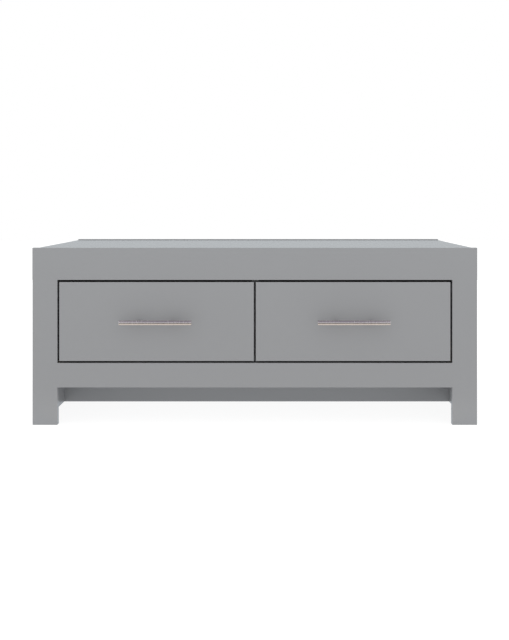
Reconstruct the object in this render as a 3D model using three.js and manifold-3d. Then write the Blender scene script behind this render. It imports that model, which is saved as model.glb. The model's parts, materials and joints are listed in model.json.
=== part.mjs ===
// Storage coffee table: a framed case on board legs, with two flush drawers on roller runners.
// Millimetres, +X to the right, +Y to the rear, +Z up, origin at the centre of the footprint, on the floor.
// Each half is built outward from the centre line, where +X points away from it, and the left one is mirrored.

import * as THREE from "three";
import { mergeVertices } from "three/addons/utils/BufferGeometryUtils.js";
import Module from "manifold-3d";

const wasm = await Module();
wasm.setup();

// Front and rear frames
const tableWidth = 1100;
const tableDepth = 600;
const frameBoard = 18;
const floorClearance = 92.6;
const bottomRailHeight = 60.4;
const openingHeight = 205.5;
const topRailHeight = 79.3;
const legWidth = 61.2;
const topRailOverhang = 0.5;

// Case boards
const caseBoard = 18;
const topRecess = 2.4;
const bottomPanelDrop = 8;
const backBoard = 6;
const dividerSetback = 22;
const spacerHeight = 60;

// Drawer fronts and the gaps around them
const sideGap = 4.9;
const centreGap = 5.3;
const topGap = 5.5;
const bottomGap = 5;

// Drawer boxes
const drawerBoard = 12;
const drawerRearRoom = 60;
const drawerSideHeight = 150;
const drawerSideLift = 6;
const drawerFloorBoard = 3;
const grooveLift = 10;
const grooveDepth = 6;

// Roller runners
const runnerSpace = 12.5;
const runnerHeight = 25;
const runnerSteel = 1.2;
const runnerSetback = 2;
const drawerRunnerSetback = 1;
const runnerSlideGap = 0.8;
const shelfWidth = 10;
const runnerOverlap = 126;
const stopDimpleDepth = 1.3;
const stopDimpleLength = 3;

// Rollers and their pins
const cabinetRollerRadius = 8;
const cabinetRollerInset = 10;
const rollerWidth = 7;
const rollerChamfer = 0.6;
const rollerEndGap = 0.4;
const rollerBoreGap = 0.1;
const pinRadius = 2.5;
const pinHeadRadius = 3.8;
const pinHeadHeight = 0.8;
const flangeEndGap = 1;

// Handles
const barRadius = 6.5;
const barLength = 178;
const barChamfer = 0.6;
const barStandoff = 28;
const postSpacing = 86;
const postRadius = 4;
const spigotRadius = 2;
const spigotLength = 5;

// Handle screws
const screwRadius = 2;
const screwHeadRadius = 4.5;
const screwHeadHeight = 2.6;
const screwHeadCrown = 1;
const screwReach = 12;
const screwEndRoom = 2;
const crossWidth = 1.1;
const crossLength = 4.6;
const crossDepth = 1.4;

// Clearance between pieces that seat on or in one another, and how far a cutting tool overruns
const seatGap = 0.3;
const cutOverrun = 1;

// Steps in a full turn
const coarseSteps = 32;
const fineSteps = 48;

// Levels
const bottomRailTop = floorClearance + bottomRailHeight;
const openingTop = bottomRailTop + openingHeight;
const tableHeight = openingTop + topRailHeight;
const topSurface = tableHeight - topRecess;
const topUnderside = topSurface - caseBoard;
const bottomPanelTop = bottomRailTop - bottomPanelDrop;
const bottomPanelUnderside = bottomPanelTop - caseBoard;

// Planes from front to rear
const frontFace = -tableDepth / 2;
const frontFrameBack = frontFace + frameBoard;
const dividerFront = frontFrameBack + dividerSetback;
const rearFace = tableDepth / 2;
const rearFrameFront = rearFace - frameBoard;
const backBoardFront = rearFrameFront - backBoard;

// Planes from the centre line outward
const railEnd = tableWidth / 2;
const legOuter = railEnd - topRailOverhang;
const openingEdge = legOuter - legWidth;
const sidePanelInner = legOuter - caseBoard;
const halfCaseBoard = caseBoard / 2;

// Drawer front
const frontInnerEdge = centreGap / 2;
const frontOuterEdge = openingEdge - sideGap;
const frontBottom = bottomRailTop + bottomGap;
const frontTop = openingTop - topGap;
const frontCentreX = (frontInnerEdge + frontOuterEdge) / 2;
const frontCentreZ = (frontBottom + frontTop) / 2;

// Drawer box
const innerSide = [halfCaseBoard + runnerSpace, halfCaseBoard + runnerSpace + drawerBoard];
const outerSide = [openingEdge - runnerSpace - drawerBoard, openingEdge - runnerSpace];
const sideBottom = frontBottom + drawerSideLift;
const sideTop = sideBottom + drawerSideHeight;
const boxRear = backBoardFront - drawerRearRoom;
const grooveBottom = sideBottom + grooveLift;
const grooveTop = grooveBottom + drawerFloorBoard + 2 * seatGap;

// Runners, as long as the drawer box beside the divider, whose halves still overlap when it is open.
// Their frame has its origin on the wall that carries them, with +X towards the drawer.
const runnerLength = boxRear - dividerFront;
const travel = runnerLength - runnerOverlap;
const runnerBottom = sideBottom - seatGap - runnerSteel;
const runnerWidth = runnerSpace - 2 * seatGap;
const flangeReach = runnerWidth - runnerSteel - runnerSlideGap;
const runnerFront = dividerFront + runnerSetback;
const runnerRear = runnerFront + runnerLength;
const axleHeight = runnerHeight / 2;
const drawerRollerRadius = axleHeight - runnerSteel - seatGap;
const cabinetAxleY = runnerFront + cabinetRollerInset;
const drawerAxleY = runnerRear - runnerSteel - seatGap - drawerRollerRadius;
const carrierFlangeUnderside = axleHeight + cabinetRollerRadius + seatGap;

// Finishes
const lacquer = new THREE.MeshStandardMaterial({ color: 0x999a9c, roughness: 0.5, metalness: 0 });
const lining = new THREE.MeshStandardMaterial({ color: 0xb4b5b6, roughness: 0.6, metalness: 0 });
const hardboard = new THREE.MeshStandardMaterial({ color: 0xa8a9aa, roughness: 0.7, metalness: 0 });
const rawBoard = new THREE.MeshStandardMaterial({ color: 0xb59a78, roughness: 0.8, metalness: 0 });
const brushedSteel = new THREE.MeshStandardMaterial({ color: 0xc4bcb8, roughness: 0.3, metalness: 1 });
const coatedSteel = new THREE.MeshStandardMaterial({ color: 0xdcdcd8, roughness: 0.45, metalness: 0.2 });
const nylon = new THREE.MeshStandardMaterial({ color: 0xf0efe9, roughness: 0.55, metalness: 0 });
const zincSteel = new THREE.MeshStandardMaterial({ color: 0xb9bcc0, roughness: 0.35, metalness: 1 });

// A box between pairs of planes. Its corners take the planes' own values, so that neighbours meet exactly.
function block([x0, x1], [y0, y1], [z0, z1]) {
  const geometry = new THREE.BoxGeometry();
  const corners = geometry.getAttribute("position");
  for (let i = 0; i < corners.count; i += 1) {
    const x = corners.getX(i) < 0 ? x0 : x1;
    const y = corners.getY(i) < 0 ? y0 : y1;
    const z = corners.getZ(i) < 0 ? z0 : z1;
    corners.setXYZ(i, x, y, z);
  }
  return geometry;
}

// A turned shape about the Y axis, from points of radius and height that run up its outer wall
function turned(points, steps) {
  const profile = points.map(([radius, height]) => new THREE.Vector2(radius, height));
  return new THREE.LatheGeometry(profile, steps);
}

function rod(radius, start, end, steps) {
  return turned([[0, start], [radius, start], [radius, end], [0, end]], steps);
}

function alongX(geometry) {
  return geometry.rotateZ(-Math.PI / 2);
}

function towardsFront(geometry) {
  return geometry.rotateX(Math.PI);
}

// An outline in X and Z, drawn anticlockwise as seen from the front, run between two planes of Y
function profiled(points, [y0, y1]) {
  const outline = new THREE.Shape(points.map(([x, z]) => new THREE.Vector2(x, z)));
  const geometry = new THREE.ExtrudeGeometry(outline, { depth: y1 - y0, bevelEnabled: false });
  return geometry.rotateX(Math.PI / 2).translate(0, y1, 0);
}

function solidOf(geometry) {
  const bare = geometry.clone();
  bare.deleteAttribute("normal");
  bare.deleteAttribute("uv");
  const merged = mergeVertices(bare);
  const vertProperties = merged.getAttribute("position").array;
  const triVerts = new Uint32Array(merged.index.array);
  return new wasm.Manifold(new wasm.Mesh({ numProp: 3, vertProperties, triVerts }));
}

// The first shape with the shapes in add joined to it and then the ones in cut taken away
function combined(first, { add = [], cut = [] }) {
  let solid = solidOf(first);
  for (const geometry of add) {
    solid = solid.add(solidOf(geometry));
  }
  for (const geometry of cut) {
    solid = solid.subtract(solidOf(geometry));
  }
  const mesh = solid.getMesh();
  const shared = new THREE.BufferGeometry();
  shared.setAttribute("position", new THREE.BufferAttribute(new Float32Array(mesh.vertProperties), 3));
  shared.setIndex(new THREE.BufferAttribute(new Uint32Array(mesh.triVerts), 1));
  const faceted = shared.toNonIndexed();
  faceted.computeVertexNormals();
  return faceted;
}

function addPiece(group, name, geometry, material) {
  const mesh = new THREE.Mesh(geometry, material);
  mesh.name = name;
  group.add(mesh);
  return mesh;
}

// Top, rails and the boards that run across the whole case
function buildCentre() {
  const centre = new THREE.Group();
  const acrossCase = [-sidePanelInner, sidePanelInner];
  const acrossOpening = [-openingEdge, openingEdge];
  const caseDepth = [frontFrameBack, backBoardFront];
  const betweenFrames = [frontFrameBack, rearFrameFront];
  const frames = { front: [frontFace, frontFrameBack], rear: [rearFrameFront, rearFace] };

  const top = block([-legOuter, legOuter], betweenFrames, [topUnderside, topSurface]);
  addPiece(centre, "top_panel", top, lacquer);
  for (const [end, depth] of Object.entries(frames)) {
    const topRail = block([-railEnd, railEnd], depth, [openingTop, tableHeight]);
    const bottomRail = block(acrossOpening, depth, [floorClearance, bottomRailTop]);
    addPiece(centre, `${end}_top_rail`, topRail, lacquer);
    addPiece(centre, `${end}_bottom_rail`, bottomRail, lacquer);
  }
  const bottom = block(acrossCase, caseDepth, [bottomPanelUnderside, bottomPanelTop]);
  addPiece(centre, "bottom_panel", bottom, lacquer);
  const dividerDepth = [dividerFront, backBoardFront];
  const divider = block([-halfCaseBoard, halfCaseBoard], dividerDepth, [bottomPanelTop, topUnderside]);
  addPiece(centre, "centre_divider", divider, lacquer);
  const support = block(acrossCase, [-halfCaseBoard, halfCaseBoard], [0, bottomPanelUnderside]);
  addPiece(centre, "centre_support_panel", support, lacquer);
  const back = block(acrossCase, [backBoardFront, rearFrameFront], [bottomPanelUnderside, topUnderside]);
  addPiece(centre, "back_panel", back, lacquer);
  return centre;
}

// Legs, side panel and the batten that brings the outer runner out to the edge of the opening
function addCaseHalf(half, side) {
  const legs = [openingEdge, legOuter];
  const wall = [sidePanelInner, legOuter];
  const frontLeg = block(legs, [frontFace, frontFrameBack], [0, openingTop]);
  const rearLeg = block(legs, [rearFrameFront, rearFace], [0, openingTop]);
  const sidePanel = block(wall, [frontFrameBack, rearFrameFront], [0, topUnderside]);
  const spacerLevels = [bottomPanelTop, bottomPanelTop + spacerHeight];
  const spacer = block([openingEdge, sidePanelInner], [frontFrameBack, backBoardFront], spacerLevels);
  addPiece(half, `front_${side}_leg`, frontLeg, lacquer);
  addPiece(half, `rear_${side}_leg`, rearLeg, lacquer);
  addPiece(half, `${side}_side_panel`, sidePanel, lacquer);
  addPiece(half, `${side}_runner_spacer`, spacer, rawBoard);
}

function addDrawerBox(half, side) {
  const postPlaces = [frontCentreX - postSpacing / 2, frontCentreX + postSpacing / 2];
  const grooveLevels = [grooveBottom, grooveTop];
  const grooveEnds = [innerSide[1] - grooveDepth, outerSide[0] + grooveDepth];
  const grooveFront = frontFrameBack - grooveDepth;

  const screwHoles = postPlaces.map((x) => {
    const hole = rod(screwRadius + seatGap, -cutOverrun, frameBoard + cutOverrun, coarseSteps);
    return hole.translate(x, frontFace, frontCentreZ);
  });
  const frontGroove = block(grooveEnds, [grooveFront, frontFrameBack + cutOverrun], grooveLevels);
  const front = block([frontInnerEdge, frontOuterEdge], [frontFace, frontFrameBack], [frontBottom, frontTop]);
  addPiece(half, `${side}_drawer_front`, combined(front, { cut: [frontGroove, ...screwHoles] }), lacquer);

  const grooveRun = [frontFrameBack - cutOverrun, boxRear + cutOverrun];
  const grooves = {
    inner: [innerSide[1] - grooveDepth, innerSide[1] + cutOverrun],
    outer: [outerSide[0] - cutOverrun, outerSide[0] + grooveDepth],
  };
  for (const [place, across] of Object.entries({ inner: innerSide, outer: outerSide })) {
    const sideBoard = block(across, [frontFrameBack, boxRear], [sideBottom, sideTop]);
    const groove = block(grooves[place], grooveRun, grooveLevels);
    addPiece(half, `${side}_drawer_${place}_side`, combined(sideBoard, { cut: [groove] }), lining);
  }

  const betweenSides = [innerSide[1], outerSide[0]];
  const back = block(betweenSides, [boxRear - drawerBoard, boxRear], [grooveTop, sideTop]);
  addPiece(half, `${side}_drawer_back`, back, lining);
  const floorAcross = [grooveEnds[0] + seatGap, grooveEnds[1] - seatGap];
  const floorLevels = [grooveBottom + seatGap, grooveTop - seatGap];
  const floor = block(floorAcross, [grooveFront + seatGap, boxRear], floorLevels);
  addPiece(half, `${side}_drawer_bottom`, floor, hardboard);
}

// A roller pin that stands out of a runner along +X, with a riveted head that keeps the roller on
function rollerPin(root, axleY) {
  const foot = runnerSteel / 2;
  const neck = runnerSteel + rollerWidth + 2 * rollerEndGap;
  const head = neck + pinHeadHeight;
  const outline = [
    [0, foot],
    [pinRadius, foot],
    [pinRadius, neck],
    [pinHeadRadius, neck],
    [pinHeadRadius, head],
    [0, head],
  ];
  return alongX(turned(outline, coarseSteps)).translate(root, axleY, axleHeight);
}

function roller(radius) {
  const bore = pinRadius + rollerBoreGap;
  const rim = radius - rollerChamfer;
  const shoulder = rollerWidth - rollerChamfer;
  const outline = [
    [bore, 0],
    [rim, 0],
    [radius, rollerChamfer],
    [radius, shoulder],
    [rim, rollerWidth],
    [bore, rollerWidth],
    [bore, 0],
  ];
  return alongX(turned(outline, coarseSteps));
}

// The channel on the case: open towards the drawer, closed at the rear, with a dimple that stops the drawer
function cabinetRunner() {
  const ceiling = runnerHeight - runnerSteel;
  const channel = profiled(
    [
      [0, 0],
      [flangeReach, 0],
      [flangeReach, runnerSteel],
      [runnerSteel, runnerSteel],
      [runnerSteel, ceiling],
      [flangeReach, ceiling],
      [flangeReach, runnerHeight],
      [0, runnerHeight],
    ],
    [runnerFront, runnerRear],
  );
  const halfSteel = runnerSteel / 2;
  const inChannel = [halfSteel, flangeReach - halfSteel];
  const stopRun = [runnerRear - runnerSteel, runnerRear - halfSteel];
  const rearStop = block(inChannel, stopRun, [halfSteel, runnerHeight - halfSteel]);
  const dimpleBottom = ceiling - stopDimpleDepth;
  const overAxle = dimpleBottom - axleHeight;
  const contact = Math.sqrt(drawerRollerRadius ** 2 - overAxle ** 2);
  const dimpleRear = drawerAxleY - travel - contact - seatGap;
  const dimpleRun = [dimpleRear - stopDimpleLength, dimpleRear];
  const dimple = block(inChannel, dimpleRun, [dimpleBottom, runnerHeight - halfSteel]);
  return combined(channel, { add: [rearStop, dimple, rollerPin(0, cabinetAxleY)] });
}

// The rail on the drawer: a shelf under the side, a web beside it and a flange that runs on the case's roller
function drawerRunner() {
  const run = [frontFrameBack + drawerRunnerSetback, boxRear];
  const webFace = runnerWidth - runnerSteel;
  const shelfEdge = runnerWidth + shelfWidth;
  const flangeEdge = runnerSteel + runnerSlideGap;
  const flangeTop = carrierFlangeUnderside + runnerSteel;
  const rail = profiled(
    [
      [webFace, 0],
      [shelfEdge, 0],
      [shelfEdge, runnerSteel],
      [runnerWidth, runnerSteel],
      [runnerWidth, flangeTop],
      [flangeEdge, flangeTop],
      [flangeEdge, carrierFlangeUnderside],
      [webFace, carrierFlangeUnderside],
    ],
    run,
  );
  const flangeRear = drawerAxleY - drawerRollerRadius - flangeEndGap;
  const aboveFlange = [carrierFlangeUnderside - flangeEndGap, flangeTop + cutOverrun];
  const rollerRoom = block([-cutOverrun, webFace], [flangeRear, boxRear + cutOverrun], aboveFlange);
  const pin = rollerPin(-runnerWidth, 0).rotateZ(Math.PI).translate(0, drawerAxleY, 0);
  return combined(rail, { add: [pin], cut: [rollerRoom] });
}

// One runner pair. Towards the drawer is +1 where the drawer lies further out than the wall, and -1 where not.
function addRunnerPair(half, side, place, wall, towardsDrawer) {
  const pair = new THREE.Group();
  pair.position.set(wall + towardsDrawer * seatGap, 0, runnerBottom);
  pair.scale.x = towardsDrawer;
  addPiece(pair, `${side}_${place}_cabinet_runner`, cabinetRunner(), coatedSteel);
  addPiece(pair, `${side}_${place}_drawer_runner`, drawerRunner(), coatedSteel);
  const cabinetRoller = addPiece(pair, `${side}_${place}_cabinet_roller`, roller(cabinetRollerRadius), nylon);
  cabinetRoller.position.set(runnerSteel + rollerEndGap, cabinetAxleY, axleHeight);
  const drawerRoller = addPiece(pair, `${side}_${place}_drawer_roller`, roller(drawerRollerRadius), nylon);
  const drawerRollerX = runnerWidth - runnerSteel - rollerEndGap - rollerWidth;
  drawerRoller.position.set(drawerRollerX, drawerAxleY, axleHeight);
  half.add(pair);
}

// A handle about its own centre on the drawer's face: the bar stands off towards -Y on two posts
function addHandle(half, side) {
  const handle = new THREE.Group();
  handle.position.set(frontCentreX, frontFace, frontCentreZ);
  const places = { inner: -postSpacing / 2, outer: postSpacing / 2 };
  const barBack = barStandoff - barRadius;
  const spigotEnd = barBack + spigotLength;

  const rim = barRadius - barChamfer;
  const barEnd = barLength / 2;
  const shoulder = barEnd - barChamfer;
  const barOutline = [
    [0, -barEnd],
    [rim, -barEnd],
    [barRadius, -shoulder],
    [barRadius, shoulder],
    [rim, barEnd],
    [0, barEnd],
  ];
  const bar = alongX(turned(barOutline, fineSteps)).translate(0, -barStandoff, 0);
  const sockets = Object.values(places).map((x) => {
    const socket = towardsFront(rod(spigotRadius + seatGap, barBack - cutOverrun, spigotEnd + seatGap, coarseSteps));
    return socket.translate(x, 0, 0);
  });
  addPiece(handle, `${side}_handle_bar`, combined(bar, { cut: sockets }), brushedSteel);

  const saddle = alongX(rod(barRadius + seatGap, -postSpacing / 2, postSpacing / 2, fineSteps));
  saddle.translate(0, -barStandoff, 0);
  const threadBore = towardsFront(rod(screwRadius + seatGap, -cutOverrun, screwReach + screwEndRoom, coarseSteps));
  for (const [place, x] of Object.entries(places)) {
    const shank = towardsFront(rod(postRadius, 0, barStandoff, coarseSteps));
    const cupped = combined(shank, { cut: [saddle] });
    const spigot = towardsFront(rod(spigotRadius, barBack - spigotLength, spigotEnd, coarseSteps));
    const post = combined(cupped, { add: [spigot], cut: [threadBore] });
    addPiece(handle, `${side}_handle_${place}_post`, post, brushedSteel).position.x = x;
    addPiece(handle, `${side}_handle_${place}_screw`, handleScrew(), zincSteel).position.x = x;
  }
  half.add(handle);
}

// A pan-head machine screw along Y, with its head behind the drawer front and its end in a post
function handleScrew() {
  const crown = frameBoard + screwHeadHeight;
  const outline = [
    [0, -screwReach],
    [screwRadius, -screwReach],
    [screwRadius, frameBoard],
    [screwHeadRadius, frameBoard],
    [screwHeadRadius, crown - screwHeadCrown],
    [screwHeadRadius - screwHeadCrown, crown],
    [0, crown],
  ];
  const halfCross = crossLength / 2;
  const halfSlot = crossWidth / 2;
  const depth = [crown - crossDepth, crown + cutOverrun];
  const slots = [
    block([-halfCross, halfCross], depth, [-halfSlot, halfSlot]),
    block([-halfSlot, halfSlot], depth, [-halfCross, halfCross]),
  ];
  return combined(turned(outline, coarseSteps), { cut: slots });
}

const table = new THREE.Group();
table.add(buildCentre());
for (const [side, outward] of Object.entries({ left: -1, right: 1 })) {
  const half = new THREE.Group();
  half.scale.x = outward;
  addCaseHalf(half, side);
  addDrawerBox(half, side);
  addRunnerPair(half, side, "outer", openingEdge, -1);
  addRunnerPair(half, side, "inner", halfCaseBoard, 1);
  addHandle(half, side);
  table.add(half);
}

export default table;
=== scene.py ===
# Storage coffee table with two drawers: finished boards, runners, rollers and handles laid over the CAD
# frame, with a white studio round them. Metres, +X to the right, +Y to the rear, +Z up.

import json
import math

import bmesh
import bpy
from bpy.props import FloatProperty, FloatVectorProperty, IntProperty, PointerProperty
from bpy.types import Operator, Panel, PropertyGroup
from mathutils import Matrix, Vector


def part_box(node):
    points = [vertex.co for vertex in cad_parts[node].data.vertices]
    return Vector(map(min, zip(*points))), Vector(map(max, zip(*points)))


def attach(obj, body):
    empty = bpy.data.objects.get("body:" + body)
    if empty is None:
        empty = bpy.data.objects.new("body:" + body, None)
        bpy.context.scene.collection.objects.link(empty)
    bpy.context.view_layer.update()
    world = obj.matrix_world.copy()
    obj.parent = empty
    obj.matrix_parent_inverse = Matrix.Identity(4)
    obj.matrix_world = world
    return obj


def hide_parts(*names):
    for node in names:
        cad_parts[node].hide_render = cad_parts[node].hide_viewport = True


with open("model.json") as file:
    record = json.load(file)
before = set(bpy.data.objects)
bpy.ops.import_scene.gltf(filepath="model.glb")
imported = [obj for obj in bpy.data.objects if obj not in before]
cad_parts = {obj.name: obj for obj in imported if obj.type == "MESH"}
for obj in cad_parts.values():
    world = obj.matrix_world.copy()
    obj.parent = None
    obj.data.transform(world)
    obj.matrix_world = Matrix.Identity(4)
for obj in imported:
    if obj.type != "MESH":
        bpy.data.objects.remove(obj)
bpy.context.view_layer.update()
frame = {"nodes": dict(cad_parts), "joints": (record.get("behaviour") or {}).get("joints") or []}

bl_info = {
    "name": "Storage coffee table",
    "version": (1, 0, 0),
    "blender": (4, 5, 0),
    "location": "View3D > Sidebar > Coffee table",
    "description": "Boards, drawers, roller runners and handles of a two-drawer coffee table, with a studio",
    "category": "Object",
}

SIDES = {"left": -1, "right": 1}
PLACES = ("inner", "outer")

TOUCH = 1e-6  # metres within which places count as the same
CUT = 1e-7
END_FACE_TILT = 0.9  # a turned shape's faces that point further along its axis are its ends
FLAT_ANGLE = 0.01

EDGE_STEPS = 3
SCREW_STEPS = 24
CROSS_REACH = 0.6  # length of each arm of a screw's cross, as a share of the head's radius
NOISE_RANGE = (0.3, 0.7)  # the part of a noise's values that a finish spreads over its full range

FLOOR_RADIUS = 12.0
FLOOR_STEPS = 64
SENSOR_WIDTH = 36.0  # millimetres
LAMP_LEAN, LAMP_HEIGHT, LAMP_ANGLE = 0.6, 0.8, 12  # two high lamps, each 12 degrees across
# Painted reflection: glossy rays see the world in tones of pale walls and a darker ceiling patch before the
# table; no wall or ceiling is in the scene, and these tones light no matt surface.
PAINTED_CEILING_DIRECTION = (0.0, -0.5, 0.866)
PAINTED_ROOM_STEPS = (0.3, 0.5, 0.82, 0.93)  # nearness to the middle of the painted ceiling reflection, from rear wall tone to ceiling tone
PAINTED_FLOOR_LINES = (0.33, 0.35, 0.5, 0.65)  # metres before the table's middle where the painted floor reflection changes tone, from under the table to further off


def length(name, description, default, soft_max=0.05):
    """A size in metres."""
    return FloatProperty(
        name=name,
        description=description,
        default=default,
        min=0.0,
        soft_max=soft_max,
        precision=4,
        unit="LENGTH",
    )


def number(name, description, default):
    """A plain number."""
    return FloatProperty(name=name, description=description, default=default, min=0.0)


def colour(name, description, default):
    """A linear colour."""
    return FloatVectorProperty(
        name=name, description=description, default=default, min=0.0, max=1.0, subtype="COLOR"
    )


class CoffeeTableBoardSizes(PropertyGroup):
    """Edges of the boards"""

    frame_edge: length("Frame edge radius", "Rounding of the free edges of rails and legs", 0.0003)
    front_edge: length("Drawer front edge radius", "Rounding of the drawer fronts", 0.0003)
    arris: length("Arris radius", "Rounding of the edges inside the case", 0.0004)
    drawer_edge: length("Drawer box edge radius", "Rounding of the top edges of the drawer boxes", 0.0015)
    groove_depth: length("Groove depth", "How far the drawer bottom goes into its sides and front", 0.006)
    groove_gap: length("Groove gap", "Room above and below the drawer bottom in its groove", 0.0003)


class CoffeeTableHardwareSizes(PropertyGroup):
    """Runners, rollers, screws and handles"""

    steel: length("Steel thickness", "Thickness of the runners' sheet steel", 0.0012)
    bend: length("Bend radius", "Radius inside the runners' bends", 0.0004)
    flange_end_gap: length("Flange end gap", "Room between carrying flange and drawer's roller", 0.001)
    dimple_depth: length("Stop dimple depth", "How far the stop dimple stands down into the channel", 0.0013)
    dimple_length: length("Stop dimple length", "Length of the stop dimple along the channel", 0.003)
    pin_radius: length("Pin radius", "Radius of the pins that carry the rollers", 0.0025)
    pin_head_radius: length("Pin head radius", "Radius of the riveted heads of the pins", 0.0038)
    pin_head_height: length("Pin head height", "Height of the riveted heads of the pins", 0.0008)
    roller_gap: length("Roller end gap", "Room beside a roller on its pin", 0.0004)
    roller_edge: length("Roller edge radius", "Rounding of the rollers' rims", 0.0009)
    roller_recess: length("Roller recess", "Depth of the ring sunk in each face of a roller", 0.0005)
    screw_radius: length("Runner screw head radius", "Radius of the screw heads on the runners", 0.0033)
    screw_height: length("Runner screw head height", "Height of the screw heads on the runners", 0.0012)
    screw_cross: length("Cross width", "Width of each arm of the cross recess", 0.0008)
    screw_inset: length("Screw inset", "Distance of the end screws from the runner's ends", 0.035, 0.2)
    screws: IntProperty(name="Screws", description="Screws on each runner", default=3, min=2, max=8)
    bar_edge: length("Bar end radius", "Rounding of the ends of the handle bars", 0.0009)
    steps: IntProperty(name="Steps", description="Steps round each turned piece", default=64, min=16, max=128)


class CoffeeTableFinishes(PropertyGroup):
    """Colours of the finishes"""

    lacquer: colour("Lacquer", "Grey lacquer on all the visible boards", (0.321, 0.326, 0.336))
    lining: colour("Drawer lining", "Foil on the drawer boxes", (0.45, 0.455, 0.46))
    hardboard: colour("Hardboard", "Printed face of the drawer bottoms", (0.40, 0.405, 0.41))
    chipboard: colour("Chipboard", "Raw battens behind the outer runners", (0.46, 0.33, 0.20))
    runner_coat: colour("Runner coat", "Powder coat on the runners", (0.72, 0.72, 0.69))
    nylon: colour("Nylon", "Rollers", (0.87, 0.86, 0.81))
    nickel: colour("Nickel", "Handle bars and posts", (0.72, 0.66, 0.64))
    zinc: colour("Zinc", "Screws", (0.50, 0.52, 0.54))


class CoffeeTableStudio(PropertyGroup):
    """Camera, lights and floor"""

    camera_place: FloatVectorProperty(
        name="Camera",
        description="Where the camera stands",
        default=(0.0433, -2.755, 0.54796),
        subtype="TRANSLATION",
    )
    focal_length: number("Focal length", "Of the camera, in millimetres", 55.868)
    shift: FloatVectorProperty(
        name="Shift",
        description="Of the camera, as shares of its sensor",
        default=(-0.02788, -0.18242),
        size=2,
    )
    sky: number("Sky", "Even light from all round", 0.9)
    floor_light: number("Floor light", "Even light from the floor", 0.65)
    side_light: number("Side lights", "Each of two high lamps at the sides", 0.35)
    floor_grey: number("Floor grey", "Lightness of the floor", 0.4)
    floor_white: number("Floor white", "Of the floor as it is seen", 0.9)
    shadow: number("Shadow", "How far shadows show on the floor", 0.22)
    # Painted reflection: tones that only gloss sees, for walls and a ceiling that are not in the scene.
    wall: colour("Wall", "What gloss shows of the walls", (0.88, 0.97, 1.0))
    painted_rear_wall_reflection: colour("Rear wall", "What gloss shows of the wall behind the table", (0.585, 0.625, 0.65))
    painted_ceiling_edge_reflection: colour("Ceiling edge", "What gloss shows between wall and ceiling", (0.555, 0.55, 0.615))
    ceiling: colour("Ceiling", "What gloss shows of the ceiling before the table", (0.25, 0.245, 0.305))
    # Painted reflection: floor tones that only gloss sees, lighter just before the table and dark further
    # off, while the camera sees the floor white.
    painted_under_floor_reflection: colour("Under floor", "What gloss shows of the floor round the table", (0.67, 0.72, 0.77))
    painted_near_floor_reflection: colour("Near floor", "What gloss shows of the floor just before the table", (1.0, 0.96, 0.87))
    painted_far_floor_reflection: colour("Far floor", "What gloss shows of the floor further off", (0.25, 0.22, 0.2))
    front_width: length("Front floor width", "Half width of the tones before the table", 0.35, 2.0)
    front_spread: number("Front floor spread", "How fast that half width grows forward", 0.4)
    front_fade: length("Front floor fade", "How softly those tones end at the sides", 0.05, 1.0)


# Mesh helpers


def box_mesh(low, high):
    """A box between two corners."""
    bm = bmesh.new()
    bmesh.ops.create_cube(bm, size=1.0)
    bmesh.ops.scale(bm, vec=high - low, verts=bm.verts)
    bmesh.ops.translate(bm, vec=(low + high) / 2, verts=bm.verts)
    return bm


def edges_on(bm, *planes, span=None):
    """The edges that lie on every plane, given as (axis, value), and within a span of one axis."""
    found = []
    for edge in bm.edges:
        on_all = all(abs(v.co[axis] - value) < TOUCH for v in edge.verts for axis, value in planes)
        if on_all and span:
            axis, low, high = span
            on_all = all(low - TOUCH < v.co[axis] < high + TOUCH for v in edge.verts)
        if on_all:
            found.append(edge)
    return found


def edges_where(bm, plane, *others):
    """The edges where a plane meets each of the others."""
    return [edge for other in others for edge in edges_on(bm, plane, other)]


def ease(bm, edges, radius):
    """Rounds edges and shades the rounding smooth."""
    if not edges or radius <= 0.0:
        return
    made = bmesh.ops.bevel(
        bm,
        geom=list(dict.fromkeys(edges)),
        offset=radius,
        offset_type="OFFSET",
        affect="EDGES",
        segments=EDGE_STEPS,
        profile=0.5,
        material=-1,
        clamp_overlap=True,
    )
    for face in made["faces"]:
        face.smooth = True


def cut_at(bm, axis, values):
    """Divides all faces at planes across one axis, so that parts of an edge can be treated apart."""
    normal = Vector((0, 0, 0))
    normal[axis] = 1.0
    for value in values:
        geometry = [*bm.verts, *bm.edges, *bm.faces]
        bmesh.ops.bisect_plane(bm, geom=geometry, dist=CUT, plane_co=normal * value, plane_no=normal)


def turned_mesh(points, steps):
    """A shape turned about Z, from points of radius and height."""
    bm = bmesh.new()
    ring = [bm.verts.new((radius, 0.0, height)) for radius, height in points]
    outline = [bm.edges.new(pair) for pair in zip(ring, ring[1:])]
    bmesh.ops.spin(
        bm,
        geom=[*ring, *outline],
        cent=(0, 0, 0),
        axis=(0, 0, 1),
        angle=2 * math.pi,
        steps=steps,
        use_merge=True,
    )
    bmesh.ops.remove_doubles(bm, verts=bm.verts, dist=TOUCH)
    bmesh.ops.recalc_face_normals(bm, faces=bm.faces)
    for face in bm.faces:
        face.smooth = abs(face.normal.z) < END_FACE_TILT
    return bm


def set_upright(bm, place, axis):
    """Moves a shape that stands on the origin along Z to a place, with Z turned to an axis."""
    turn = Vector((0, 0, 1)).rotation_difference(axis).to_matrix().to_4x4()
    bmesh.ops.transform(bm, matrix=Matrix.Translation(place) @ turn, verts=bm.verts)


def rims_of(bm, radius, heights):
    """The edges round a turned shape at its outer radius, at given heights."""
    found = [edge for height in heights for edge in edges_on(bm, (2, height))]
    return [edge for edge in found if all(abs(v.co.xy.length - radius) < TOUCH for v in edge.verts)]


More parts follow.
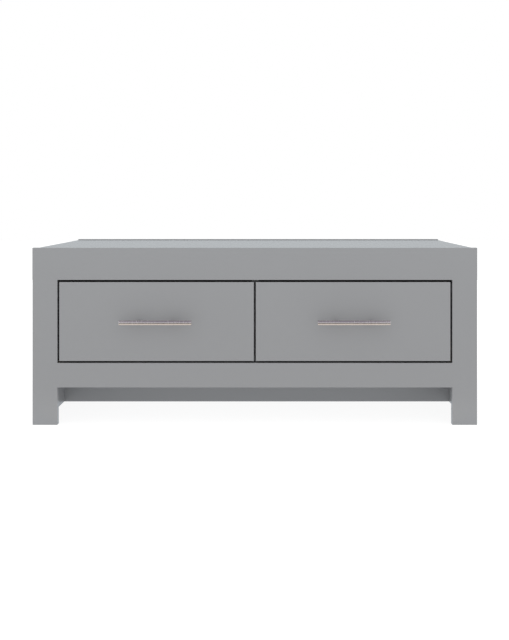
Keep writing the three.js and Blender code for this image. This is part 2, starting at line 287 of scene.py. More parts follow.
def profile_mesh(points, start, end):
    """An outline of (x, z) points that runs along Y."""
    bm = bmesh.new()
    face = bm.faces.new([bm.verts.new((x, start, z)) for x, z in points])
    grown = bmesh.ops.extrude_face_region(bm, geom=[face], use_keep_orig=True)["geom"]
    far = [item for item in grown if isinstance(item, bmesh.types.BMVert)]
    bmesh.ops.translate(bm, vec=(0, end - start, 0), verts=far)
    bmesh.ops.recalc_face_normals(bm, faces=bm.faces)
    return bm


def sink(bm, faces, step):
    """Pushes a patch of faces in by a step, with walls down to it."""
    grown = bmesh.ops.extrude_face_region(bm, geom=faces)["geom"]
    floor = [item for item in grown if isinstance(item, bmesh.types.BMVert)]
    bmesh.ops.translate(bm, vec=step, verts=floor)
    left = [face for face in faces if face.is_valid]
    if left:
        bmesh.ops.delete(bm, geom=left, context="FACES")


def join(bm, part):
    """Adds a finished shape to another mesh."""
    mesh = bpy.data.meshes.new("part")
    part.to_mesh(mesh)
    part.free()
    bm.from_mesh(mesh)
    bpy.data.meshes.remove(mesh)


def corners(node):
    """Lowest and highest corner of a CAD node."""
    low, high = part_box(node)
    return Vector(low), Vector(high)


def finish_piece(name, bm, body, slot, finish, *nodes):
    """Makes an object of a mesh, on the body that carries it and in place of its CAD nodes."""
    mesh = bpy.data.meshes.new(name)
    bm.to_mesh(mesh)
    bm.free()
    mesh.materials.append(finish_of(finish))
    piece = bpy.data.objects.new(name, mesh)
    bpy.context.scene.collection.objects.link(piece)
    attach(piece, body)
    if nodes:
        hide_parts(*nodes)


def dress_node(node, finish):
    """Gives a CAD node that keeps its own shape a finish."""
    slots = frame["nodes"][node].data.materials
    if slots:
        slots[0] = finish_of(finish)
    else:
        slots.append(finish_of(finish))


# Finishes


def shader_of(name, base, roughness, metallic=0.0, specular=0.5):
    """A material with its principled shader."""
    material = bpy.data.materials.new(name)
    material.use_nodes = True
    material.diffuse_color = (*base, 1.0)
    shader = material.node_tree.nodes["Principled BSDF"]
    shader.inputs["Base Color"].default_value = (*base, 1.0)
    shader.inputs["Roughness"].default_value = roughness
    shader.inputs["Metallic"].default_value = metallic
    shader.inputs["Specular IOR Level"].default_value = specular
    return material, shader


def math_of(owner, operation, *values):
    """The result of a math node, whose values are numbers or sockets."""
    node = owner.node_tree.nodes.new("ShaderNodeMath")
    node.operation = operation
    for socket, value in zip(node.inputs, values):
        if isinstance(value, bpy.types.NodeSocket):
            owner.node_tree.links.new(value, socket)
        else:
            socket.default_value = value
    return node.outputs[0]


def range_of(owner, value, start, end, low=0.0, high=1.0):
    """A value's span from start to end, spread over low to high and held at both."""
    span = owner.node_tree.nodes.new("ShaderNodeMapRange")
    span.inputs["From Min"].default_value = start
    span.inputs["From Max"].default_value = end
    span.inputs["To Min"].default_value = low
    span.inputs["To Max"].default_value = high
    owner.node_tree.links.new(value, span.inputs["Value"])
    return span.outputs["Result"]


def noise(material, scale, detail=2.0):
    """Noise on the piece's own coordinates. Its scale is in lumps per metre along X, Y and Z."""
    nodes, links = material.node_tree.nodes, material.node_tree.links
    place = nodes.new("ShaderNodeTexCoord")
    mapping = nodes.new("ShaderNodeMapping")
    mapping.inputs["Scale"].default_value = scale
    texture = nodes.new("ShaderNodeTexNoise")
    texture.inputs["Scale"].default_value = 1.0
    texture.inputs["Detail"].default_value = detail
    links.new(place.outputs["Object"], mapping.inputs["Vector"])
    links.new(mapping.outputs["Vector"], texture.inputs["Vector"])
    return texture.outputs["Fac"]


def colour_steps(owner, factor, places, colours):
    """A ramp of colours over a factor, each at its own place."""
    ramp = owner.node_tree.nodes.new("ShaderNodeValToRGB")
    elements = ramp.color_ramp.elements
    while len(elements) < len(places):
        elements.new(1.0)
    for element, place, tone in zip(elements, places, colours):
        element.position = place
        element.color = (*tone, 1.0)
    owner.node_tree.links.new(factor, ramp.inputs["Fac"])
    return ramp.outputs["Color"]


def tint(material, shader, factor, dark, light):
    """Lets the base colour vary between two colours."""
    colours = colour_steps(material, factor, NOISE_RANGE, (dark, light))
    material.node_tree.links.new(colours, shader.inputs["Base Color"])


def gloss(material, shader, factor, low, high):
    """Lets the roughness vary between two values."""
    roughness = range_of(material, factor, *NOISE_RANGE, low, high)
    material.node_tree.links.new(roughness, shader.inputs["Roughness"])


def relief(material, shader, factor, height):
    """Raises the surface by a pattern, whose full height is in metres."""
    nodes, links = material.node_tree.nodes, material.node_tree.links
    bump = nodes.new("ShaderNodeBump")
    bump.inputs["Distance"].default_value = height
    links.new(factor, bump.inputs["Height"])
    links.new(bump.outputs["Normal"], shader.inputs["Normal"])


def shade(base, share):
    """A colour made darker or lighter by a share."""
    return tuple(min(1.0, part * share) for part in base)


def grey_lacquer(base):
    """Sprayed satin lacquer: even in colour, with a faint orange peel."""
    material, shader = shader_of("grey_lacquer", base, roughness=0.22)
    tint(material, shader, noise(material, (5, 5, 5)), shade(base, 0.993), shade(base, 1.007))
    gloss(material, shader, noise(material, (60, 60, 60)), 0.215, 0.235)
    relief(material, shader, noise(material, (700, 700, 700), 1.0), height=0.00002)
    return material


def lining_foil(base):
    """Printed foil with a fine linen weave."""
    material, shader = shader_of("lining_foil", base, roughness=0.6, specular=0.3)
    both = math_of(material, "ADD", noise(material, (1400, 1400, 70)), noise(material, (70, 70, 1400)))
    weave = math_of(material, "MULTIPLY", both, 0.5)
    tint(material, shader, weave, shade(base, 0.9), shade(base, 1.08))
    relief(material, shader, weave, height=0.00004)
    return material


def printed_hardboard(base):
    """Pressed fibre with a matt printed face."""
    material, shader = shader_of("printed_hardboard", base, roughness=0.7, specular=0.25)
    tint(material, shader, noise(material, (220, 220, 220), 6.0), shade(base, 0.93), shade(base, 1.05))
    relief(material, shader, noise(material, (1600, 1600, 1600), 3.0), height=0.00003)
    return material


def raw_chipboard(base):
    """Sawn chipboard: pale and dark chips pressed together."""
    material, shader = shader_of("raw_chipboard", base, roughness=0.85, specular=0.2)
    nodes, links = material.node_tree.nodes, material.node_tree.links
    place = nodes.new("ShaderNodeTexCoord")
    mapping = nodes.new("ShaderNodeMapping")
    mapping.inputs["Scale"].default_value = (420, 160, 420)
    chips = nodes.new("ShaderNodeTexVoronoi")
    chips.inputs["Scale"].default_value = 1.0
    split = nodes.new("ShaderNodeSeparateColor")
    links.new(place.outputs["Object"], mapping.inputs["Vector"])
    links.new(mapping.outputs["Vector"], chips.inputs["Vector"])
    links.new(chips.outputs["Color"], split.inputs["Color"])
    tint(material, shader, split.outputs["Red"], shade(base, 0.6), shade(base, 1.3))
    relief(material, shader, chips.outputs["Distance"], height=0.0002)
    return material


def powder_coat(base):
    """Off-white powder coat on sheet steel."""
    material, shader = shader_of("powder_coat", base, roughness=0.42)
    tint(material, shader, noise(material, (40, 40, 40)), shade(base, 0.97), shade(base, 1.02))
    relief(material, shader, noise(material, (1500, 1500, 1500), 1.0), height=0.00003)
    return material


def white_nylon(base):
    """Moulded nylon, slightly uneven in tone and gloss."""
    material, shader = shader_of("white_nylon", base, roughness=0.5)
    tint(material, shader, noise(material, (300, 300, 300)), shade(base, 0.93), shade(base, 1.03))
    gloss(material, shader, noise(material, (500, 500, 500)), 0.4, 0.6)
    return material


def brushed_nickel(name, base, scale):
    """Nickel brushed in a lathe, so that its lines run round the piece."""
    material, shader = shader_of(name, base, roughness=0.22, metallic=1.0)
    lines = noise(material, scale, 3.0)
    tint(material, shader, lines, shade(base, 0.92), shade(base, 1.06))
    gloss(material, shader, lines, 0.16, 0.28)
    relief(material, shader, lines, height=0.000004)
    return material


def bright_zinc(base):
    """Zinc plate with faint clouds."""
    material, shader = shader_of("bright_zinc", base, roughness=0.35, metallic=1.0)
    clouds = noise(material, (500, 500, 500))
    tint(material, shader, clouds, shade(base, 0.88), shade(base, 1.1))
    gloss(material, shader, clouds, 0.28, 0.42)
    return material


def finish_of(name):
    """The named finish, made when it is first asked for."""
    if name in bpy.data.materials:
        return bpy.data.materials[name]
    finishes = bpy.context.scene.coffee_table_finishes
    makers = {
        "grey_lacquer": lambda: grey_lacquer(finishes.lacquer),
        "lining_foil": lambda: lining_foil(finishes.lining),
        "printed_hardboard": lambda: printed_hardboard(finishes.hardboard),
        "raw_chipboard": lambda: raw_chipboard(finishes.chipboard),
        "powder_coat": lambda: powder_coat(finishes.runner_coat),
        "white_nylon": lambda: white_nylon(finishes.nylon),
        "brushed_nickel_bar": lambda: brushed_nickel("brushed_nickel_bar", finishes.nickel, (2600, 40, 40)),
        "brushed_nickel_post": lambda: brushed_nickel("brushed_nickel_post", finishes.nickel, (40, 2600, 40)),
        "bright_zinc": lambda: bright_zinc(finishes.zinc),
    }
    return makers[name]()


# Boards


def lacquered_board(node, free_edges, radius):
    """Makes a lacquered board of the case and rounds its free edges."""
    low, high = corners(node)
    bm = box_mesh(low, high)
    ease(bm, free_edges(bm, low, high), radius)
    finish_piece(f"{node}_board", bm, "carcass", "lacquer", "grey_lacquer", node)


def all_edges(bm, low, high):
    """Every edge of a board."""
    return list(bm.edges)


class COFFEETABLE_OT_rails(Operator):
    """Make the top and bottom rails of the front and rear frames"""

    bl_idname = "coffee_table.rails"
    bl_label = "Rails"
    bl_options = {"REGISTER", "UNDO"}

    def execute(self, context):
        radius = context.scene.coffee_table_boards.frame_edge
        for end in ("front", "rear"):

            def top_rail_edges(bm, low, high, end=end):
                outer = (1, low.y if end == "front" else high.y)
                inner = (1, high.y if end == "front" else low.y)
                top, left, right = (2, high.z), (0, low.x), (0, high.x)
                found = edges_where(bm, top, outer, inner)
                return found + edges_where(bm, outer, left, right) + edges_where(bm, top, left, right)

            def bottom_rail_edges(bm, low, high):
                return edges_where(bm, (2, low.z), (1, low.y), (1, high.y))

            lacquered_board(f"{end}_top_rail", top_rail_edges, radius)
            lacquered_board(f"{end}_bottom_rail", bottom_rail_edges, radius)
        return {"FINISHED"}


class COFFEETABLE_OT_legs(Operator):
    """Make the four board legs"""

    bl_idname = "coffee_table.legs"
    bl_label = "Legs"
    bl_options = {"REGISTER", "UNDO"}

    def execute(self, context):
        radius = context.scene.coffee_table_boards.frame_edge
        for side, outward in SIDES.items():
            for end in ("front", "rear"):
                rail_low, rail_high = corners(f"{end}_bottom_rail")
                levels = (rail_low.z, rail_high.z)

                def leg_edges(bm, low, high, end=end, outward=outward, levels=levels):
                    cut_at(bm, 2, levels)
                    inner = (0, low.x if outward > 0 else high.x)
                    outer = (0, high.x if outward > 0 else low.x)
                    face = (1, low.y if end == "front" else high.y)
                    back = (1, high.y if end == "front" else low.y)
                    foot = (2, low.z)
                    found = edges_on(bm, face, outer)
                    found += edges_on(bm, face, inner, span=(2, low.z, levels[0]))
                    found += edges_on(bm, face, inner, span=(2, levels[1], high.z))
                    found += edges_on(bm, back, inner, span=(2, low.z, levels[0]))
                    return found + edges_where(bm, foot, face, back, inner, outer)

                lacquered_board(f"{end}_{side}_leg", leg_edges, radius)
        return {"FINISHED"}


class COFFEETABLE_OT_panels(Operator):
    """Make the top, side, bottom, back, support and divider panels of the case"""

    bl_idname = "coffee_table.panels"
    bl_label = "Panels"
    bl_options = {"REGISTER", "UNDO"}

    def execute(self, context):
        boards = context.scene.coffee_table_boards

        def top_edges(bm, low, high):
            return edges_where(bm, (2, high.z), (0, low.x), (0, high.x))

        def foot_edges(bm, low, high):
            return edges_where(bm, (2, low.z), (0, low.x), (0, high.x), (1, low.y), (1, high.y))

        lacquered_board("top_panel", top_edges, boards.frame_edge)
        for node in ("left_side_panel", "right_side_panel", "centre_support_panel"):
            lacquered_board(node, foot_edges, boards.frame_edge)
        for node in ("bottom_panel", "centre_divider", "back_panel"):
            lacquered_board(node, all_edges, boards.arris)
        return {"FINISHED"}


class COFFEETABLE_OT_runner_spacers(Operator):
    """Make the raw battens that bring the outer runners out to the edge of the opening"""

    bl_idname = "coffee_table.runner_spacers"
    bl_label = "Runner spacers"
    bl_options = {"REGISTER", "UNDO"}

    def execute(self, context):
        for side in SIDES:
            node = f"{side}_runner_spacer"
            bm = box_mesh(*corners(node))
            ease(bm, list(bm.edges), context.scene.coffee_table_boards.arris)
            finish_piece(f"{node}_batten", bm, "carcass", "raw_board", "raw_chipboard", node)
        return {"FINISHED"}


# Drawers


def groove_levels(side):
    """Lowest and highest level of the groove round a drawer's bottom."""
    gap = bpy.context.scene.coffee_table_boards.groove_gap
    low, high = corners(f"{side}_drawer_bottom")
    return low.z - gap, high.z + gap


class COFFEETABLE_OT_drawer_fronts(Operator):
    """Make the two drawer fronts, each with a groove for its drawer bottom"""

    bl_idname = "coffee_table.drawer_fronts"
    bl_label = "Drawer fronts"
    bl_options = {"REGISTER", "UNDO"}

    def execute(self, context):
        boards = context.scene.coffee_table_boards
        for side in SIDES:
            node = f"{side}_drawer_front"
            low, high = corners(node)
            floor_low, floor_high = corners(f"{side}_drawer_bottom")
            bottom, top = groove_levels(side)
            ends = (floor_low.x - boards.groove_gap, floor_high.x + boards.groove_gap)
            bm = box_mesh(low, high)
            ease(bm, list(bm.edges), boards.front_edge)
            cut_at(bm, 0, ends)
            cut_at(bm, 2, (bottom, top))
            middle = Vector((sum(ends) / 2, high.y, (bottom + top) / 2))
            mouth = min(bm.faces, key=lambda face: (face.calc_center_median() - middle).length)
            sink(bm, [mouth], (0, -boards.groove_depth, 0))
            finish_piece(f"{node}_board", bm, f"{side}_drawer", "lacquer", "grey_lacquer", node)
        return {"FINISHED"}


class COFFEETABLE_OT_drawer_boxes(Operator):
    """Make the sides, back and bottom of both drawers"""

    bl_idname = "coffee_table.drawer_boxes"
    bl_label = "Drawer boxes"
    bl_options = {"REGISTER", "UNDO"}

    def execute(self, context):
        boards = context.scene.coffee_table_boards
        for side, outward in SIDES.items():
            body = f"{side}_drawer"
            bottom, top = groove_levels(side)
            for place in PLACES:
                node = f"{side}_drawer_{place}_side"
                low, high = corners(node)
                opens_to_high_x = (outward > 0) == (place == "inner")
                wall, open_face = (low.x, high.x) if opens_to_high_x else (high.x, low.x)
                root = open_face - boards.groove_depth if opens_to_high_x else open_face + boards.groove_depth
                points = [
                    (wall, low.z),
                    (open_face, low.z),
                    (open_face, bottom),
                    (root, bottom),
                    (root, top),
                    (open_face, top),
                    (open_face, high.z),
                    (wall, high.z),
                ]
                bm = profile_mesh(points, low.y, high.y)
                rims = edges_where(bm, (2, high.z), (0, low.x), (0, high.x), (1, high.y))
                ease(bm, rims, boards.drawer_edge)
                finish_piece(f"{node}_board", bm, body, "drawer_lining", "lining_foil", node)

            node = f"{side}_drawer_back"
            low, high = corners(node)
            bm = box_mesh(low, high)
            rims = edges_where(bm, (2, high.z), (1, low.y), (1, high.y))
            ease(bm, rims, boards.drawer_edge)
            finish_piece(f"{node}_board", bm, body, "drawer_lining", "lining_foil", node)

            node = f"{side}_drawer_bottom"
            bm = box_mesh(*corners(node))
            ease(bm, list(bm.edges), boards.arris)
            finish_piece(f"{node}_board", bm, body, "hardboard", "printed_hardboard", node)
        return {"FINISHED"}


# Runners


class RunnerPair:
    """Places in one runner pair, measured across from the wall that carries it towards the drawer."""

    def __init__(self, side, place):
        self.side = side
        self.name = f"{side}_{place}"
        self.towards = SIDES[side] if place == "inner" else -SIDES[side]
        self.case_low, self.case_high = corners(f"{self.name}_cabinet_runner")
        self.rail_low, self.rail_high = corners(f"{self.name}_drawer_runner")
        self.wall = self.case_low.x if self.towards > 0 else self.case_high.x
        self.floor = self.case_low.z
        self.case_reach = self.case_high.x - self.case_low.x
        self.rail_near = self.across(self.rail_low.x if self.towards > 0 else self.rail_high.x)
        self.rail_far = self.across(self.rail_high.x if self.towards > 0 else self.rail_low.x)

    def across(self, x):
        """Distance of a place from the wall."""
        return (x - self.wall) * self.towards

    def x(self, across):
        """Place at a distance from the wall."""
        return self.wall + across * self.towards

    def outline(self, points):
        """Points of (x, z) for points given from the wall and up from the runner's floor."""
        return [(self.x(across), self.floor + height) for across, height in points]

    def box(self, across, run, heights):
        """Corners of a box given by its spans across, along and up from the runner's floor."""
        xs = sorted(self.x(value) for value in across)
        low = Vector((xs[0], run[0], self.floor + heights[0]))
        high = Vector((xs[1], run[1], self.floor + heights[1]))
        return low, high

    def roller(self, owner):
        """Centre, radius and half width of a roller of the case or the drawer."""
        low, high = corners(f"{self.name}_{owner}_roller")
        return (low + high) / 2, (high.z - low.z) / 2, (high.x - low.x) / 2


def runner_pairs():
    """The four runner pairs: two for each drawer."""
    return [RunnerPair(side, place) for side in SIDES for place in PLACES]


def bend_edges(bm, pair, points, radius):
    """Rounds the long edges of a runner at points of its outline."""
    edges = []
    for across, height in points:
        edges += edges_on(bm, (0, pair.x(across)), (2, pair.floor + height))
    ease(bm, edges, radius)


def add_pin(bm, pair, owner, root, towards, hardware):
    """Adds the riveted pin of a roller, from the steel that it is fixed in."""
    centre, _, half_width = pair.roller(owner)
    foot = hardware.steel / 2
    neck = hardware.steel + 2 * half_width + 2 * hardware.roller_gap
    head = neck + hardware.pin_head_height
    crown = hardware.pin_head_height / 2
    points = [
        (0.0, foot),
        (hardware.pin_radius, foot),
        (hardware.pin_radius, neck),
        (hardware.pin_head_radius, neck),
        (hardware.pin_head_radius, head - crown),
        (hardware.pin_head_radius - crown, head),
        (0.0, head),
    ]
    pin = turned_mesh(points, hardware.steps // 2)
    set_upright(pin, Vector((root, centre.y, centre.z)), Vector((towards, 0, 0)))
    join(bm, pin)


class COFFEETABLE_OT_cabinet_runners(Operator):
    """Make the four channels on the case, with their pins, rear stops and stop dimples"""

    bl_idname = "coffee_table.cabinet_runners"
    bl_label = "Cabinet runners"
    bl_options = {"REGISTER", "UNDO"}

    def execute(self, context):
        hardware = context.scene.coffee_table_hardware
        steel = hardware.steel
        travel = max(joint["range_m"][1] for joint in frame["joints"] if joint["type"] == "slide")
        for pair in runner_pairs():
            node = f"{pair.name}_cabinet_runner"
            front, rear = pair.case_low.y, pair.case_high.y
            height = pair.case_high.z - pair.case_low.z
            ceiling = height - steel
            reach = pair.case_reach
            inside = [(steel, steel), (steel, ceiling)]
            outside = [(0.0, 0.0), (0.0, height)]
            points = [
                outside[0],
                (reach, 0.0),
                (reach, steel),
                inside[0],
                inside[1],
                (reach, ceiling),
                (reach, height),
                outside[1],
            ]
            bm = profile_mesh(pair.outline(points), front, rear)
            bend_edges(bm, pair, outside, hardware.bend + steel)
            bend_edges(bm, pair, inside, hardware.bend)
            half = steel / 2
            stop = pair.box((half, reach - half), (rear - steel, rear - half), (half, height - half))
            join(bm, box_mesh(*stop))
            centre, radius, _ = pair.roller("drawer")
            dimple_floor = ceiling - hardware.dimple_depth
            over_axle = dimple_floor - (centre.z - pair.floor)
            contact = math.sqrt(max(radius**2 - over_axle**2, 0.0))
            dimple_rear = centre.y - travel - contact - hardware.roller_gap
            run = (dimple_rear - hardware.dimple_length, dimple_rear)
            dimple = pair.box((steel, reach - half), run, (dimple_floor, height - half))
            dimple_mesh = box_mesh(*dimple)
            ease(dimple_mesh, edges_on(dimple_mesh, (2, dimple[0].z)), hardware.dimple_depth / 2)
            join(bm, dimple_mesh)
            add_pin(bm, pair, "cabinet", pair.wall, pair.towards, hardware)
            finish_piece(f"{node}_channel", bm, "carcass", "runner_steel", "powder_coat", node)
        return {"FINISHED"}


class COFFEETABLE_OT_drawer_runners(Operator):
    """Make the four rails on the drawers, with their pins"""

    bl_idname = "coffee_table.drawer_runners"
    bl_label = "Drawer runners"
    bl_options = {"REGISTER", "UNDO"}

    def execute(self, context):
        hardware = context.scene.coffee_table_hardware
        steel = hardware.steel
        for pair in runner_pairs():
            node = f"{pair.name}_drawer_runner"
            front, rear = pair.rail_low.y, pair.rail_high.y
            top = pair.rail_high.z - pair.rail_low.z
            centre, radius, half_width = pair.roller("drawer")
            web_near = pair.across(centre.x) + half_width + hardware.roller_gap
            web_far = web_near + steel
            flange_end = centre.y - radius - hardware.flange_end_gap
            carrying = [
                (web_near, 0.0),
                (pair.rail_far, 0.0),
                (pair.rail_far, steel),
                (web_far, steel),
                (web_far, top),
                (pair.rail_near, top),
                (pair.rail_near, top - steel),
                (web_near, top - steel),
            ]
            plain = [*carrying[:4], (web_far, top), (web_near, top)]
            bm = profile_mesh(pair.outline(carrying), front, flange_end)
            bend_edges(bm, pair, [(web_near, 0.0), (web_far, top)], hardware.bend + steel)
            bend_edges(bm, pair, [(web_far, steel), (web_near, top - steel)], hardware.bend)
            join(bm, profile_mesh(pair.outline(plain), flange_end, rear))
            add_pin(bm, pair, "drawer", pair.x(web_far), -pair.towards, hardware)
            body = f"{pair.side}_drawer"
            finish_piece(f"{node}_rail", bm, body, "runner_steel", "powder_coat", node)
        return {"FINISHED"}


class COFFEETABLE_OT_rollers(Operator):
    """Make the eight nylon rollers"""

    bl_idname = "coffee_table.rollers"
    bl_label = "Rollers"
    bl_options = {"REGISTER", "UNDO"}

    def execute(self, context):
        hardware = context.scene.coffee_table_hardware
        for pair in runner_pairs():
            for owner in ("cabinet", "drawer"):
                node = f"{pair.name}_{owner}_roller"
                centre, radius, half = pair.roller(owner)
                bore = hardware.pin_radius + hardware.roller_gap / 4
                hub = hardware.pin_head_radius + hardware.roller_gap
                web = radius - 2 * hardware.roller_edge
                sunk = half - hardware.roller_recess
                points = [
                    (bore, -half),
                    (hub, -half),
                    (hub, -sunk),
                    (web, -sunk),
                    (web, -half),
                    (radius, -half),
                    (radius, half),
                    (web, half),
                    (web, sunk),
                    (hub, sunk),
                    (hub, half),
                    (bore, half),
                    (bore, -half),
                ]
                bm = turned_mesh(points, hardware.steps)
                ease(bm, rims_of(bm, radius, (-half, half)), hardware.roller_edge)
                set_upright(bm, centre, Vector((1, 0, 0)))
                body = f"{pair.name}_{owner}_wheel"
                finish_piece(f"{node}_wheel", bm, body, "roller_nylon", "white_nylon", node)
        return {"FINISHED"}


def add_screw_head(bm, place, axis, hardware):
    """Adds a low pan head with a cross recess, standing on place along an axis."""
    radius, height = hardware.screw_radius, hardware.screw_height
    crown = height / 2
    rim = [(radius, -crown), (radius, height - crown), (radius - crown, height)]
    head = turned_mesh([(0.0, -crown), *rim, (0.0, height)], SCREW_STEPS)
    bmesh.ops.dissolve_limit(head, angle_limit=FLAT_ANGLE, verts=head.verts, edges=head.edges)
    arm, slot = radius * CROSS_REACH, hardware.screw_cross / 2
    for across in (0, 1):
        cut_at(head, across, (-arm, -slot, slot, arm))
    recess = []
    for face in head.faces:
        middle = face.calc_center_median()
        x, y = abs(middle.x), abs(middle.y)
        if middle.z > height - TOUCH and ((x < arm and y < slot) or (y < arm and x < slot)):
            recess.append(face)
    sink(head, recess, (0, 0, -crown))
    set_upright(head, place, axis)
    join(bm, head)


class COFFEETABLE_OT_runner_screws(Operator):
    """Make the screws that hold the runners to the case and to the drawers"""

    bl_idname = "coffee_table.runner_screws"
    bl_label = "Runner screws"
    bl_options = {"REGISTER", "UNDO"}

    def execute(self, context):
        hardware = context.scene.coffee_table_hardware
        for pair in runner_pairs():
            web_middle = (pair.case_low.z + pair.case_high.z) / 2
            shelf_middle = pair.rail_far - hardware.screw_radius - 2 * hardware.steel
            inset = hardware.screw_inset
            case = bmesh.new()
            rail = bmesh.new()
            for index in range(hardware.screws):
                share = index / (hardware.screws - 1)
                case_y = pair.case_low.y + inset + share * (pair.case_high.y - pair.case_low.y - 2 * inset)
                rail_y = pair.rail_low.y + inset + share * (pair.rail_high.y - pair.rail_low.y - 2 * inset)
                web = Vector((pair.x(hardware.steel), case_y, web_middle))
                shelf = Vector((pair.x(shelf_middle), rail_y, pair.floor))
                add_screw_head(case, web, Vector((pair.towards, 0, 0)), hardware)
                add_screw_head(rail, shelf, Vector((0, 0, -1)), hardware)
            name, body = f"{pair.name}_cabinet_runner_screws", "carcass"
            finish_piece(name, case, body, "screw_zinc", "bright_zinc")
            name, body = f"{pair.name}_drawer_runner_screws", f"{pair.side}_drawer"
            finish_piece(name, rail, body, "screw_zinc", "bright_zinc")
        return {"FINISHED"}


# Handles


class COFFEETABLE_OT_handles(Operator):
    """Make the two handle bars and their four posts"""

    bl_idname = "coffee_table.handles"
    bl_label = "Handles"
    bl_options = {"REGISTER", "UNDO"}

    def execute(self, context):
        hardware = context.scene.coffee_table_hardware
        for side in SIDES:
            body = f"{side}_drawer"
            node = f"{side}_handle_bar"
            low, high = corners(node)
            centre, radius, half = (low + high) / 2, (high.z - low.z) / 2, (high.x - low.x) / 2
            bm = turned_mesh([(0.0, -half), (radius, -half), (radius, half), (0.0, half)], hardware.steps)
            ease(bm, rims_of(bm, radius, (-half, half)), hardware.bar_edge)
            set_upright(bm, centre, Vector((1, 0, 0)))
            finish_piece(f"{node}_rod", bm, body, "handle_steel", "brushed_nickel_bar", node)

            for place in PLACES:
                node = f"{side}_handle_{place}_post"
                post_low, post_high = corners(node)
                middle = (post_low + post_high) / 2
                post_radius = (post_high.x - post_low.x) / 2
                face = post_high.y
                reach = face - centre.y - math.sqrt(radius**2 - post_radius**2) + hardware.steel
                points = [(0.0, 0.0), (post_radius, 0.0), (post_radius, reach), (0.0, reach)]
                bm = turned_mesh(points, hardware.steps)
                set_upright(bm, Vector((middle.x, face, middle.z)), Vector((0, -1, 0)))
                finish_piece(f"{node}_stem", bm, body, "handle_steel", "brushed_nickel_post", node)
        return {"FINISHED"}


class COFFEETABLE_OT_handle_screws(Operator):
    """Finish the machine screws that hold the handles, which keep their CAD shape"""

    bl_idname = "coffee_table.handle_screws"
    bl_label = "Handle screws"
    bl_options = {"REGISTER", "UNDO"}

    def execute(self, context):
        for side in SIDES:
            for place in PLACES:
                dress_node(f"{side}_handle_{place}_screw", "bright_zinc")
        return {"FINISHED"}


# Studio


def add_sun(name, towards, strength, angle):
    """A distant lamp that shines from a direction."""
    lamp = bpy.data.lights.new(name, "SUN")
    lamp.energy = strength
    lamp.angle = math.radians(angle)
    sun = bpy.data.objects.new(name, lamp)
    sun.rotation_euler = Vector(towards).to_track_quat("Z", "Y").to_euler()
    bpy.context.scene.collection.objects.link(sun)


def seen_and_lit(owner, seen, painted_reflection, lit):
    """Mixes what the camera sees, what gloss and glass show, and what lights the surfaces."""
    nodes, links = owner.node_tree.nodes, owner.node_tree.links
    path = nodes.new("ShaderNodeLightPath")
    mirrors = math_of(owner, "MAXIMUM", path.outputs["Is Glossy Ray"], path.outputs["Is Transmission Ray"])
    with_mirrors = nodes.new("ShaderNodeMixShader")
    links.new(mirrors, with_mirrors.inputs["Fac"])
    links.new(lit, with_mirrors.inputs[1])
    links.new(painted_reflection, with_mirrors.inputs[2])
    with_camera = nodes.new("ShaderNodeMixShader")
    links.new(path.outputs["Is Camera Ray"], with_camera.inputs["Fac"])
    links.new(with_mirrors.outputs[0], with_camera.inputs[1])
    links.new(seen, with_camera.inputs[2])
    return with_camera.outputs[0]


def build_world(world, studio):
    """White to the camera, an even sky to the surfaces, and a painted reflection of walls and a darker
    ceiling to gloss.
    """
    world.use_nodes = True
    nodes, links = world.node_tree.nodes, world.node_tree.links
    nodes.clear()
    seen, painted_reflection, lit = (nodes.new("ShaderNodeBackground") for _ in range(3))
    seen.inputs["Color"].default_value = (1, 1, 1, 1)
    lit.inputs["Color"].default_value = (1, 1, 1, 1)
    lit.inputs["Strength"].default_value = studio.sky
    direction = nodes.new("ShaderNodeTexCoord")
    nearness = nodes.new("ShaderNodeVectorMath")
    nearness.operation = "DOT_PRODUCT"
    nearness.inputs[1].default_value = PAINTED_CEILING_DIRECTION
    links.new(direction.outputs["Generated"], nearness.inputs[0])
    # Painted reflection: a ramp of tones by nearness to the painted ceiling patch, seen only by glossy rays.
    tones = (studio.painted_rear_wall_reflection, studio.wall, studio.painted_ceiling_edge_reflection, studio.ceiling)
    painted_room_reflection = colour_steps(world, nearness.outputs["Value"], PAINTED_ROOM_STEPS, tones)
    links.new(painted_room_reflection, painted_reflection.inputs["Color"])
    mixed = seen_and_lit(world, seen.outputs[0], painted_reflection.outputs[0], lit.outputs[0])
    out = nodes.new("ShaderNodeOutputWorld")
    links.new(mixed, out.inputs["Surface"])


def painted_floor_reflection(material, studio):
    """Painted reflection of the floor, seen only by gloss: one tone all round, and two more in a strip before
    the table.
    """
    nodes, links = material.node_tree.nodes, material.node_tree.links
    place = nodes.new("ShaderNodeTexCoord")
    split = nodes.new("ShaderNodeSeparateXYZ")
    links.new(place.outputs["Object"], split.inputs["Vector"])
    before = math_of(material, "MULTIPLY", split.outputs["Y"], -1.0)
    beside = math_of(material, "ABSOLUTE", split.outputs["X"])
    narrowed = math_of(material, "MULTIPLY_ADD", split.outputs["Y"], studio.front_spread, beside)
    outside = range_of(material, narrowed, studio.front_width, studio.front_width + studio.front_fade)
    tones = (studio.painted_under_floor_reflection, studio.painted_near_floor_reflection, studio.painted_near_floor_reflection, studio.painted_far_floor_reflection)
    mixed = nodes.new("ShaderNodeMix")
    mixed.data_type = "RGBA"
    factor, strip, round_table = mixed.inputs[0], mixed.inputs[6], mixed.inputs[7]
    links.new(outside, factor)
    links.new(colour_steps(material, before, PAINTED_FLOOR_LINES, tones), strip)
    round_table.default_value = (*studio.painted_under_floor_reflection, 1.0)
    return mixed.outputs[2]


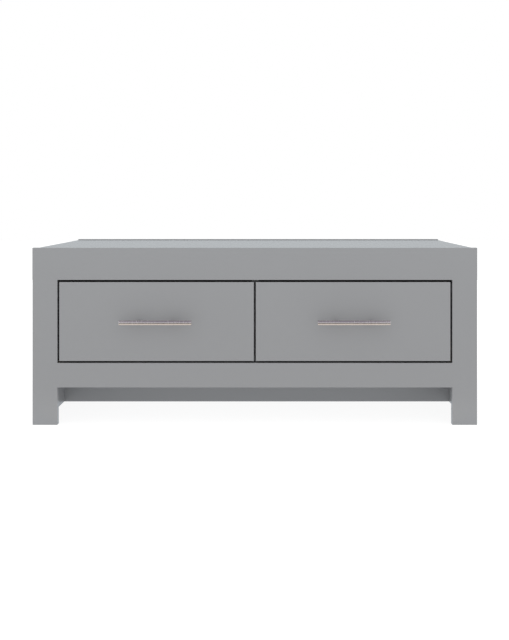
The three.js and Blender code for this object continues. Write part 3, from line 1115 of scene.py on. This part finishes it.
def floor_paint(studio):
    """White to the camera with faint shadows, an even light to the surfaces, and a painted reflection in
    three tones to gloss.
    """
    material = bpy.data.materials.new("studio_floor")
    material.use_nodes = True
    nodes, links = material.node_tree.nodes, material.node_tree.links
    nodes.clear()

    def paint(grey, light):
        matt = nodes.new("ShaderNodeBsdfDiffuse")
        matt.inputs["Color"].default_value = (grey, grey, grey, 1)
        glow = nodes.new("ShaderNodeEmission")
        glow.inputs["Strength"].default_value = light
        both = nodes.new("ShaderNodeAddShader")
        links.new(matt.outputs[0], both.inputs[0])
        links.new(glow.outputs[0], both.inputs[1])
        return both.outputs[0]

    # Painted reflection: gloss sees these tones on the floor in place of its white.
    painted_reflection = nodes.new("ShaderNodeEmission")
    links.new(painted_floor_reflection(material, studio), painted_reflection.inputs["Color"])
    seen = paint(studio.shadow, studio.floor_white)
    lit = paint(studio.floor_grey, studio.floor_light)
    out = nodes.new("ShaderNodeOutputMaterial")
    links.new(seen_and_lit(material, seen, painted_reflection.outputs[0], lit), out.inputs["Surface"])
    return material


class COFFEETABLE_OT_studio(Operator):
    """Make the floor, the light and the camera"""

    bl_idname = "coffee_table.studio"
    bl_label = "Studio"
    bl_options = {"REGISTER", "UNDO"}

    def execute(self, context):
        scene = context.scene
        studio = scene.coffee_table_studio
        scene.view_settings.view_transform = "Standard"

        scene.world = bpy.data.worlds.new("studio_world")
        build_world(scene.world, studio)

        bm = bmesh.new()
        bmesh.ops.create_circle(bm, cap_ends=True, segments=FLOOR_STEPS, radius=FLOOR_RADIUS)
        mesh = bpy.data.meshes.new("floor")
        bm.to_mesh(mesh)
        bm.free()
        mesh.materials.append(floor_paint(studio))
        floor = bpy.data.objects.new("floor", mesh)
        scene.collection.objects.link(floor)

        for side, outward in SIDES.items():
            towards = (LAMP_LEAN * outward, 0, LAMP_HEIGHT)
            add_sun(f"{side}_side_light", towards, studio.side_light, LAMP_ANGLE)

        lens = bpy.data.cameras.new("camera")
        lens.lens = studio.focal_length
        lens.sensor_width = SENSOR_WIDTH
        lens.shift_x, lens.shift_y = studio.shift
        camera = bpy.data.objects.new("camera", lens)
        camera.location = studio.camera_place
        camera.rotation_euler = (math.radians(90), 0, 0)
        scene.collection.objects.link(camera)
        scene.camera = camera
        return {"FINISHED"}


OPERATORS = (
    COFFEETABLE_OT_studio,
    COFFEETABLE_OT_rails,
    COFFEETABLE_OT_legs,
    COFFEETABLE_OT_panels,
    COFFEETABLE_OT_runner_spacers,
    COFFEETABLE_OT_drawer_fronts,
    COFFEETABLE_OT_drawer_boxes,
    COFFEETABLE_OT_cabinet_runners,
    COFFEETABLE_OT_drawer_runners,
    COFFEETABLE_OT_rollers,
    COFFEETABLE_OT_runner_screws,
    COFFEETABLE_OT_handles,
    COFFEETABLE_OT_handle_screws,
)

SETTINGS = {
    "coffee_table_boards": CoffeeTableBoardSizes,
    "coffee_table_hardware": CoffeeTableHardwareSizes,
    "coffee_table_finishes": CoffeeTableFinishes,
    "coffee_table_studio": CoffeeTableStudio,
}


class COFFEETABLE_PT_panel(Panel):
    """Sizes, finishes and steps of the coffee table"""

    bl_idname = "COFFEETABLE_PT_panel"
    bl_label = "Coffee table"
    bl_space_type = "VIEW_3D"
    bl_region_type = "UI"
    bl_category = "Coffee table"

    def draw(self, context):
        for setting, group in SETTINGS.items():
            box = self.layout.box()
            box.label(text=group.__doc__)
            for prop in group.__annotations__:
                box.prop(getattr(context.scene, setting), prop)
        for operator in OPERATORS:
            self.layout.operator(operator.bl_idname)


CLASSES = (*SETTINGS.values(), *OPERATORS, COFFEETABLE_PT_panel)


def register():
    for cls in CLASSES:
        bpy.utils.register_class(cls)
    for setting, group in SETTINGS.items():
        setattr(bpy.types.Scene, setting, PointerProperty(type=group))


def unregister():
    for setting in SETTINGS:
        delattr(bpy.types.Scene, setting)
    for cls in reversed(CLASSES):
        bpy.utils.unregister_class(cls)


def main():
    register()
    for operator in OPERATORS:
        group, name = operator.bl_idname.split(".")
        getattr(getattr(bpy.ops, group), name)()


if __name__ == "__main__":
    main()
